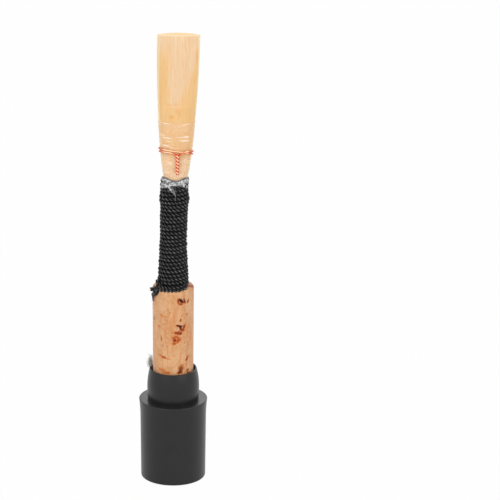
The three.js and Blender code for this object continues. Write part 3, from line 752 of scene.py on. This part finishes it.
def thread_skin(pen):
    fibres = pen.clouds((7.0, 7.0, 11.0), detail=3.0)
    sheen_clouds = pen.clouds(1.6, detail=3.0, shift=4.0)
    crest = pen.layer("crest").between(0.4, 1.05)
    uneven = fibres.between(0.34, 0.66) * (0.35 + sheen_clouds.between(0.35, 0.65))
    # Painted sheen: the crest value paints a highlight along each strand's crest and painted shade in the
    # grooves between the strands, broken up in uneven patches.
    shade = (crest * (0.1 + 0.9 * uneven)).mixed((5, 5, 6), (108, 109, 107))
    return {
        "Base Color": shade,
        "Roughness": 0.45 + 0.2 * fibres,
        "Normal": pen.bump(fibres, 0.02, 0.8),
    }


thread = material("twisted_thread", {"Specular IOR Level": 0.22, "Sheen Weight": 0.04}, thread_skin)
cord_piece("thread_winding", cord_strands, thread, ["thread_turns"])
piece("thread_bedding", [thread_bed], thread, "reed", ["thread_bed"], closed=True)

# The knot: the thread's end comes down off the winding over the cork's rounded shoulder, is hitched round
# itself there, and both of its cut ends are left: a short frayed stub and a flat tail down the cork.

NO_RISE = np.array([1, 1, 0])


def smooth_path(corners, count):
    """Curve through given points: a Catmull-Rom spline in equal steps of its parameter."""
    corners = np.array(corners, float)
    padded = np.vstack([2 * corners[0] - corners[1], corners, 2 * corners[-1] - corners[-2]])
    place = np.linspace(0, len(corners) - 1, count)
    start = np.minimum(place.astype(int), len(corners) - 2)
    t = (place - start)[:, None]
    a, b, c, d = (padded[start + shift] for shift in range(4))
    return 0.5 * (2 * b + (c - a) * t + (2 * a - 5 * b + 4 * c - d) * t**2 + (3 * b - a - 3 * c + d) * t**3)


def on_cork(degrees, radius, level):
    """Point at an angle about the axis, at a distance from it and at a height in the reed."""
    angle = np.radians(degrees)
    return xyz(radius * np.cos(angle), radius * np.sin(angle), level)


def path_on_cork(*places, count=80):
    """Smooth path through places round the cork's top edge."""
    return smooth_path([on_cork(*place) for place in places], count)


descent = path_on_cork((204, 2.6, 29.6), (209, 2.8, 29.1), (213, 3.04, 28.6), (214, 3.3, 28.1),
                       (215, 3.4, 27.9))
last_turn = path_on_cork((210, 3.42, 27.88), (222, 3.42, 27.86), (240, 3.34, 27.88), (262, 3.26, 27.88),
                         (285, 3.22, 27.86), (300, 3.08, 27.9), (318, 2.8, 28.08), (338, 2.48, 28.35),
                         (360, 2.25, 28.6), count=200)
turn_above = path_on_cork((188, 2.74, 28.9), (202, 2.9, 28.7), (222, 2.98, 28.4), (245, 2.96, 28.24),
                          (275, 2.86, 28.28), (305, 2.62, 28.4), (330, 2.4, 28.6), count=150)
knot_middle = on_cork(213, 3.45, 27.9)
knot_out = unit(knot_middle * NO_RISE)
knot_side = np.array([-knot_out[1], knot_out[0], 0])
hitch_angle = np.linspace(0.1, 1.6, 110)[:, None] * TURN
hitch = (knot_middle + 0.3 * np.cos(hitch_angle) * unit(knot_out * 0.6 + [0, 0, 0.7])
         + 0.42 * np.sin(hitch_angle) * knot_side + (hitch_angle / TURN - 0.8) * [0, 0, -0.3])
stub = path_on_cork((210, 3.6, 27.72), (202, 3.76, 27.62), (196, 3.9, 27.46), count=50)
tail = path_on_cork((224, 3.62, 27.6), (214, 3.8, 27.2), (207, 3.84, 26.7), (204, 3.8, 26.1),
                    (205, 3.68, 25.55))
tail_share = np.linspace(0, 1, len(tail))
tail_half = (0.2 * (1 - ease(tail_share, 0.6, 1) * 0.6), 0.58 * (1 - ease(tail_share, 0.3, 1) * 0.85))


def frayed(end, direction, count, length, seed):
    """Loose filaments at a cut end: thin tapering tubes that spread out from it in a cone."""
    draw = np.random.default_rng(seed)
    share = np.linspace(0, 1, 7)[:, None]
    half = 0.022 * (1.15 - share[:, 0])
    made = []
    for _ in range(count):
        spread = unit(direction + draw.normal(0, 0.32, 3))
        start = end + draw.normal(0, 0.09, 3) - 0.2 * direction
        bend = draw.normal(0, 0.1, 3)
        path = start + spread * share * length * draw.uniform(0.6, 1.1) + bend * share**2
        made.append(tube(path, np.cross(spread, [0.3, 0.5, 0.8]), half, half, 4))
    return made


knot_foot = np.array([0, 0, reed_foot])
knot_cords = []
for path, outward, half, lay in (
    (descent, descent * NO_RISE, (0.28, 0.31), PLY_LAY),
    (last_turn, last_turn * NO_RISE, (0.3, 0.36), PLY_LAY),
    (turn_above, turn_above * NO_RISE, (0.27, 0.3), PLY_LAY),
    (hitch, hitch - knot_middle, (0.24, 0.26), PLY_LAY),
    (stub, [0, 0, 1], (0.36, 0.3), 0.9),
    (tail, tail * NO_RISE, tail_half, 2.4),
):
    knot_cords += cord(path + knot_foot, outward, half, lay)
stub_way = unit(unit(stub[-1] - stub[-6]) - [0, 0, 0.8])
stub_fray = frayed(stub[-1] + knot_foot, stub_way, 40, 0.48, 51)
tail_fray = frayed(tail[-1] + knot_foot, unit(tail[-1] - tail[-6]), 10, 0.25, 53)


def fray_skin(pen):
    lint = pen.clouds(9.0)
    return {"Base Color": lint.mixed((84, 82, 80), (186, 182, 176)), "Roughness": 0.7 + 0.1 * lint}


lint = material("frayed_thread", {}, fray_skin)
cord_piece("thread_hitch", knot_cords, thread, ["thread_knot"], tail_fray)
piece("thread_fray", stub_fray, lint, "reed")

# The film: a strip of clear, stretchy film wrapped round the lower part of the blades to seal their edges. It
# clings to the cane, and shows by its pale wrinkles, partly milky creases and partly painted highlights, and
# by the line of its upper edge.

FILM_THICKNESS = 0.07
FILM_REACH = 9.9
FILM_COLUMNS = 232

# Wrinkles on the front, whose pale streaks are partly milky creases and partly painted highlights: place
# across, height, half length and half height in hundredths of a millimetre, slant in degrees and strength in
# percent.
WRINKLES = np.array([
    [-182, 5680, 95, 13, -3, 95], [148, 5662, 95, 10, 3, 80], [-37, 5670, 70, 7, 0, 35],
    [-20, 5625, 260, 40, 0, 20], [158, 5557, 70, 9, 4, 40], [-232, 5477, 55, 15, -14, 70],
    [-172, 5430, 100, 19, -2, 75], [88, 5442, 140, 15, -1, 65], [163, 5450, 60, 19, -2, 80],
    [128, 5382, 110, 17, -1, 70], [-127, 5372, 100, 13, -4, 42], [-170, 5297, 75, 13, -4, 90],
    [-67, 5262, 80, 12, -6, 50], [-137, 5087, 80, 11, -12, 50], [-127, 5002, 110, 18, -14, 75],
    [-77, 4972, 60, 9, -16, 50], [103, 4980, 12, 120, 4, 40], [143, 4960, 12, 170, 4, 50],
    [186, 4970, 9, 160, 4, 40], [216, 4930, 7, 120, 4, 35], [-147, 4827, 65, 20, -10, 75],
    [63, 4857, 40, 35, 30, 45], [-175, 5000, 70, 220, 0, 32], [20, 4790, 200, 75, 0, 42],
]) / (100, 100, 100, 100, 1, 100)

film_levels = np.linspace(STAPLE_LENGTH - 0.4, STAPLE_LENGTH + FILM_REACH, 170)[:, None]
film_turn = np.arange(FILM_COLUMNS)[None, :] / FILM_COLUMNS
creases = ripple(film_turn * 14, film_levels * 3.1, 61, 14)
creases += 0.5 * ripple(film_turn * 31, film_levels * 7.7, 62, 31)
film_outer = girth_point(film_levels, film_turn, SEAT_GAP + FILM_THICKNESS)
at_sides = fullness(film_levels) * np.abs(np.cos(TURN * film_turn))
low_down = 1 - ease(film_levels, 50.3, 51.6)
# The haze is a faint general haze over the creases, a paler veil low down that is partly the film's own haze
# and partly painted light lifting the shade near the thread and collar, and the wrinkles' pale streaks, which
# are partly milky creases and partly painted highlights.
haze_and_glints = 0.1 * ease(creases, 0.12, 0.5) + 0.2 * low_down * (0.9 + 0.35 * creases)
for across, level, long, high, slant, strength in WRINKLES:
    far = from_middle(film_outer[..., 0] - across, film_outer[..., 2] - level, long, high, slant)
    streak = 0.9 * strength * (1 - ease(far, 0.25, 1.3)) * (film_outer[..., 1] < 0)
    haze_and_glints = np.maximum(haze_and_glints, streak * (0.75 + 0.5 * creases))
back = 0.5 * (film_outer[..., 1] > 0) * ease(ripple(film_turn * 8, film_levels * 4.6, 63, 8), 0.1, 0.45)
haze_and_glints = np.clip(np.maximum(haze_and_glints, back), 0, 1)
raised = 0.015 * creases + 0.02 * haze_and_glints + 0.25 * at_sides
film_outer = girth_point(film_levels, film_turn, SEAT_GAP + FILM_THICKNESS + raised)
film_inner = girth_point(film_levels[::-1], film_turn, SEAT_GAP + 0.6 * at_sides[::-1])
film_rings = stand(np.vstack([film_outer, film_inner]))


def film_skin(pen):
    cloudy = pen.clouds((1.2, 1.2, 4.0), detail=3.0)
    veil_and_glints = pen.layer("haze_and_glints")
    # The paler and whiter colours are partly the film's milky haze and partly painted highlights and painted
    # light.
    milky_and_lit = veil_and_glints.between(0.04, 0.25).mixed((240, 216, 184), (255, 242, 222))
    return {
        "Base Color": veil_and_glints.between(0.25, 0.6).mixed(milky_and_lit, (255, 253, 251)),
        "Roughness": 0.2 + 0.2 * cloudy,
        "Alpha": 0.1 + 0.06 * cloudy + 0.84 * veil_and_glints,
        "Emission Color": veil_and_glints.mixed((0, 0, 0), (255, 244, 226)),
        "Normal": pen.bump(cloudy, 0.03, 0.5),
    }


# The weak emission stands for light that the wrinkles scatter. The film is too thin to throw a shadow.
clear_film = material("clear_film", {"IOR": 1.48, "Emission Strength": 0.1}, film_skin)
wrapping = piece("film_wrapping", [film_rings], clear_film, "reed", ["film_wrap"], closed=True,
                 layers={"haze_and_glints": [haze_and_glints, 0 * haze_and_glints]})
wrapping.visible_shadow = False

# The collar: the loose lower edge of the same film, pulled tight and twisted into ropes round the top of the
# thread. The ropes cross in front, and the film's torn end hangs down as a small pointed tail.

COLLAR_LEVEL = 46.02
COLLAR_RISE = 0.6
COLLAR_SHIFT = 0.1


def film_rope(lean, raised, out, half, lay, seed):
    """Bunched film pulled into a rope of six folds that goes once round the reed and laps over itself behind.
    Its height rises with a cosine towards the front and leans to one side with a sine."""
    turn = np.linspace(0.23, 1.27, 330)
    swing = TURN * (turn - 0.75)
    wander = ripple(turn * 9, 0, 70 + seed)
    level = COLLAR_LEVEL + raised + COLLAR_RISE * np.cos(swing) + lean * np.sin(swing) + 0.14 * wander
    middle = girth_point(level, turn, out + 0.08 * np.cos(swing) ** 2 + 0.05 * wander)
    middle[:, 0] -= COLLAR_SHIFT
    swell = 1 + 0.7 * ripple(turn * 23, 0, 90 + seed)
    folds = 0.4 + 0.8 * ripple(turn * 11, 0, 95 + seed)
    return cord(stand(middle), way_out(turn), (half[0] * swell, half[1] * swell), lay, sides=8, count=6,
                turned_by=folds, offset=0.66, thickness=0.34)


on_thread = bed_outside(THREAD_END) + SEAT_GAP + THREAD_CREST
ropes = film_rope(-0.66, 0.02, 0.2, (0.15, 0.39), 1.7, 1)
ropes += film_rope(0.66, -0.04, 0.3, (0.15, 0.38), 1.5, 2)
ropes += film_rope(0.1, 0.02, 0.24, (0.12, 0.3), 1.2, 3)
ropes += film_rope(-0.2, -0.34, 0.27, (0.12, 0.24), 1.4, 4)


def collar_skin(pen):
    folds = pen.clouds((2.6, 2.6, 4.0), detail=4.0)
    crest = pen.layer("crest").between(0.2, 1.0)
    # Painted highlight on the ropes' crests and painted shade in the grooves between them, broken up by the
    # folds.
    lit = (crest * (0.12 + 0.8 * folds.between(0.4, 0.62))).mixed((64, 65, 67), (242, 243, 242))
    return {
        "Base Color": lit,
        "Roughness": 0.25 + 0.2 * folds,
        "Normal": pen.bump(folds, 0.04, 0.8),
    }


bunched_film = material("bunched_film", {"IOR": 1.48, "Alpha": 0.93}, collar_skin)
tail_rows = np.linspace(0, 1, 18)[:, None]
tail_across = np.linspace(-1, 1, 13)[None, :]
tail_z = lerp(STAPLE_LENGTH - 1.0, STAPLE_LENGTH - 2.55, tail_rows) + 0 * tail_across
tail_x = lerp(-0.86, 0.14, tail_rows ** 0.9) + (0.56 * (1 - tail_rows) ** 1.1 + 0.03) * tail_across
tail_turn = 0.75 + tail_x / (TURN * 2.35)


def tail_face(outside):
    """The film's torn end on the thread, this far outside its crest."""
    return girth_point(tail_z, tail_turn, on_thread + outside)


fold = 0.05 * np.cos(tail_across * 2.2) + 0.03 * np.sin(tail_across * 7)
tail_rings = np.hstack([tail_face(0.05 + fold), tail_face(0.02 + fold)[:, ::-1]])[::-1]
whisker_path = stand(smooth_path([[0.13, -2.58, 44.6], [0.1, -2.7, 44.2], [0.1, -2.7, 43.75]], 12))
whisker = tube(whisker_path, [0, -1, 0], 0.035, 0.035, 5)
# Painted light on the tail: its crest value makes one side lighter and the other side darker.
tail_lit_side = 0.74 - 0.44 * np.hstack([tail_across, tail_across[:, ::-1]]) + 0 * tail_rows
cord_piece("film_ropes", ropes, bunched_film, ["film_collar"])
piece("film_tail", [stand(tail_rings), whisker], bunched_film, "reed", sharp=80,
      layers={"crest": [tail_lit_side, np.full(whisker.shape[:2], 0.6)]})

# The wire: soft bare copper, wound twice round the blades over the film. Its two ends are twisted together
# down the front and cut off. Squeezing it opens or closes the tip.

WIRE_HALF = 0.13
WIRE_TURNS = 2
WIRE_HEIGHT = 4.15
WIRE_TILT = np.radians(6.5)
WIRE_NOD = np.radians(15.5)
WIRE_SPREAD = 0.4
LOOP_CUT = 2 / 64
CROSSING = 4.5 / 64
TWIST_LENGTH = 3.4
TWIST_OFFSET = 0.27
TWIST_TURNS = 3.0
TWIST_REACH = 0.58

spacing = 2 * WIRE_HALF + SEAT_GAP
wire_low = np.array(STAPLE_LENGTH + WIRE_HEIGHT)
on_film = FILM_THICKNESS + 2 * SEAT_GAP + WIRE_HALF
share = np.linspace(LOOP_CUT, 1 - LOOP_CUT, 190)
loop_turn = 0.75 + TWIST_OFFSET / (TURN * half_width(wire_low)) - WIRE_TURNS * share


def wire_lift(x, y):
    """How much higher the wire runs at a place: it slopes down to the right and to the back."""
    return -x * np.tan(WIRE_TILT) - y * np.tan(WIRE_NOD)


level = wire_low + WIRE_TURNS * spacing * share + WIRE_SPREAD * np.maximum(-np.sin(TURN * share), 0) ** 2
flat = girth_point(level, loop_turn, on_film)
over_start = spacing * ease(share, 1 - CROSSING, 1 - LOOP_CUT)
loop = girth_point(level + wire_lift(flat[:, 0], flat[:, 1]), loop_turn, on_film + over_start)
wire_face = -(gouge_half(wire_low) + cane_thickness(wire_low)) - on_film
twist_top = wire_low + wire_lift(TWIST_OFFSET, wire_face) - spacing / 2
middle_level = np.array(twist_top - TWIST_LENGTH / 2)
twist_face = gouge_half(middle_level) + cane_thickness(middle_level) + on_film + 0.7 * spacing
twist_share = np.linspace(0, 1, 80)


def twist_strand(phase, width=1.0):
    """One end of the wire: a helix of half the spacing round the twist's own upright axis, a little wider at
    the top than where it is cut off. A width of 0 gives the axis."""
    angle = phase + TURN * TWIST_TURNS * twist_share
    reach = width * lerp(1.3, 1.0, twist_share) * spacing / 2
    return xyz(TWIST_OFFSET + np.cos(angle) * reach, np.sin(angle) * reach - twist_face,
               twist_top - TWIST_LENGTH * twist_share)


def carried(path, half, sides):
    """Round tube along any path, its section carried from point to point without turning round it."""
    tangent = unit(np.gradient(path, axis=0))
    sideways = [unit(np.cross([0, 0, 1.0], tangent[0]))]
    for direction in tangent[1:]:
        sideways.append(unit(sideways[-1] - direction * (sideways[-1] @ direction)))
    return tube(path, np.array(sideways), half, half, sides)


wire_path = stand(np.vstack([twist_strand(np.pi)[::-1], loop, twist_strand(0.0)]))
wire_rings = carried(wire_path, WIRE_HALF, 12)

# How far the wire's skin lies outside its own middle, tipped upwards on the loops, or in the twist outside
# the twist's axis: 1 at the crest. It paints a highlight on the crest and painted shade below it, and it is
# cut inside the twist and where the wire turns round the blades' edges, as painted shade where less light
# falls.
twist_axis = stand(twist_strand(0.0, width=0.0))
in_twist = np.hstack([0 * twist_share + 1, 0 * share, 0 * twist_share + 1])[:, None]
wire_core = np.vstack([twist_axis[::-1], stand(loop), twist_axis])
forward = 0 * twist_axis - [0, 1, 0]
wire_away = np.vstack([forward, unit(unit(loop * NO_RISE) + [0, 0, 0.6]), forward])
wire_crest = ((wire_rings - wire_core[:, None]) * wire_away[:, None]).sum(-1)
wire_crest /= WIRE_HALF + TWIST_REACH * spacing * in_twist
wire_crest -= 0.6 * (1 - wire_crest) * in_twist
wire_crest -= 0.6 * ease(np.abs(wire_path[:, :1] - BINDING_SHIFT), 1.9, 2.4)


def copper_skin(pen):
    drawn = pen.clouds((4.0, 4.0, 6.0), detail=3.0)
    crest = pen.layer("crest").between(0.1, 0.9)
    bright = drawn.mixed((255, 226, 188), (255, 200, 150))
    return {
        # The crest value paints a highlight on the wire and painted shade below it, inside the twist and at
        # its ends.
        "Base Color": crest.mixed((226, 84, 36), bright),
        "Roughness": 0.3 + 0.18 * drawn,
        "Normal": pen.bump(drawn, 0.008),
    }


copper = material("copper_wire", {"Metallic": 0.6}, copper_skin)
piece("copper_binding", [wire_rings], copper, "reed", ["binding_wire"],
      layers={"crest": wire_crest})

# The fluff: a tuft of grey lint caught between the cork and the holder's rim at the left. It is a loose thing
# that clings to the holder.

TUFT = np.array([-3.82, 0.85, 20.24])
LINT_COUNT = 460
LINT_HALF = 0.014

draw = np.random.default_rng(71)
fluff = []
for _ in range(LINT_COUNT):
    start = TUFT + draw.normal(0, 1, 3) * [0.19, 0.28, 0.54]
    heading = unit(draw.normal(0, 1, 3) + [-0.4, 0, 0.5])
    steps = np.cumsum(draw.normal(0, 0.5, (8, 3)) + heading, axis=0) * draw.uniform(0.03, 0.07)
    path = smooth_path(start + steps, 14)
    fluff.append(tube(path, np.cross(heading, [0.2, 0.9, 0.4]), LINT_HALF, LINT_HALF, 4))


def fluff_skin(pen):
    tone = pen.clouds(1.6)
    return {"Base Color": tone.mixed((140, 131, 122), (224, 217, 210)), "Roughness": 0.8 + 0.1 * tone}


fluff_lint = material("grey_lint", {}, fluff_skin)
piece("lint_tuft", fluff, fluff_lint, "holder")

# The studio: a pale floor that runs out of sight, an even white surround, two soft lamps in front and one
# behind, and a long lens that looks down on the reed from the front.

FLOOR_GLOW = 0.97
FLOOR_MIRRORED = 0.75
SURROUND_LEVEL = 0.62


def ray(pen, kind):
    """1 for rays of a kind that Light Path tells apart, and 0 for the others."""
    return pen.node("ShaderNodeLightPath", output=kind)


floor_mesh = bpy.data.meshes.new("floor")
floor_mesh.from_pydata([(-2, -2, 0), (2, -2, 0), (2, 2, 0), (-2, 2, 0)], [], [(0, 1, 2, 3)])
floor = placed("floor", floor_mesh)
floor_paint = material("pale_floor", {"Base Color": seen_as(236, 236, 236), "Roughness": 0.9}, lambda pen: {})
floor_mesh.materials.append(floor_paint)
tree = floor_paint.node_tree
pen = Pen(tree)
glow = pen.node("ShaderNodeEmission", (), {"Color": (1, 1, 1, 1), "Strength": 1.0})
seen = pen.math("MAXIMUM", ray(pen, "Is Camera Ray") * FLOOR_GLOW, ray(pen, "Is Glossy Ray") * FLOOR_MIRRORED)
lit = Pen(tree, tree.nodes["Principled BSDF"].outputs[0])
shown = pen.node("ShaderNodeMixShader", (), {0: seen, 1: lit, 2: glow})
tree.links.new(shown.socket, tree.nodes["Material Output"].inputs["Surface"])

world = bpy.data.worlds.new("studio")
bpy.context.scene.world = world
world.use_nodes = True
tree = world.node_tree
pen = Pen(tree)
seen = pen.math("MAXIMUM", ray(pen, "Is Camera Ray"), ray(pen, "Is Glossy Ray"))
seen = pen.math("MAXIMUM", seen, ray(pen, "Is Transmission Ray"))
strength = SURROUND_LEVEL + (1 - SURROUND_LEVEL) * seen
tree.links.new(strength.socket, tree.nodes["Background"].inputs["Strength"])
tree.nodes["Background"].inputs["Color"].default_value = (1, 1, 1, 1)


def lamp(name, place, size, power):
    """Square soft lamp that faces the middle of the reed."""
    light = bpy.data.lights.new(name, "AREA")
    light.size, light.energy = size, power
    made = placed(name, light)
    made.location = place
    made.rotation_euler = (Vector((0, 0, 0.04)) - made.location).to_track_quat("-Z", "Y").to_euler()


lamp("key_lamp", Vector((-0.35, -0.5, 0.45)), 0.55, 1.74)
lamp("fill_lamp", Vector((0.45, -0.45, 0.3)), 0.5, 1.06)
lamp("back_lamp", Vector((0.1, 0.55, 0.4)), 0.35, 0.62)

# The camera looks down by this much from this far off, at a point this high on the reed's axis. The reed
# stands left of the picture's middle, so the camera is turned by those pixels and kept upright to the reed.
LOOK_DOWN = np.radians(18.9)
DISTANCE = 0.6
AIM_HEIGHT = 0.04
FOCUS_PIXELS = 3558.0
PICTURE = 500
SENSOR_WIDTH = 36
LEFT_OF_MIDDLE = 76.8
BELOW_MIDDLE = 4.05

level_look = Vector((0, np.cos(LOOK_DOWN), -np.sin(LOOK_DOWN)))
rightward = Vector((1, 0, 0))
upward = rightward.cross(level_look)
turned_aside = (rightward * LEFT_OF_MIDDLE + upward * BELOW_MIDDLE) / FOCUS_PIXELS
look = (level_look + turned_aside).normalized()
up = rightward.cross(look).normalized()
right = look.cross(up)
camera_data = bpy.data.cameras.new("camera")
camera_data.sensor_width = SENSOR_WIDTH
camera_data.lens = SENSOR_WIDTH * FOCUS_PIXELS / PICTURE
camera_data.clip_start = 0.01
camera = placed("camera", camera_data)
turn = Matrix((right, up, -look)).transposed()
camera.matrix_world = Matrix.Translation(Vector((0, 0, AIM_HEIGHT)) - level_look * DISTANCE) @ turn.to_4x4()
bpy.context.scene.camera = camera
bpy.context.scene.view_settings.view_transform = "Standard"
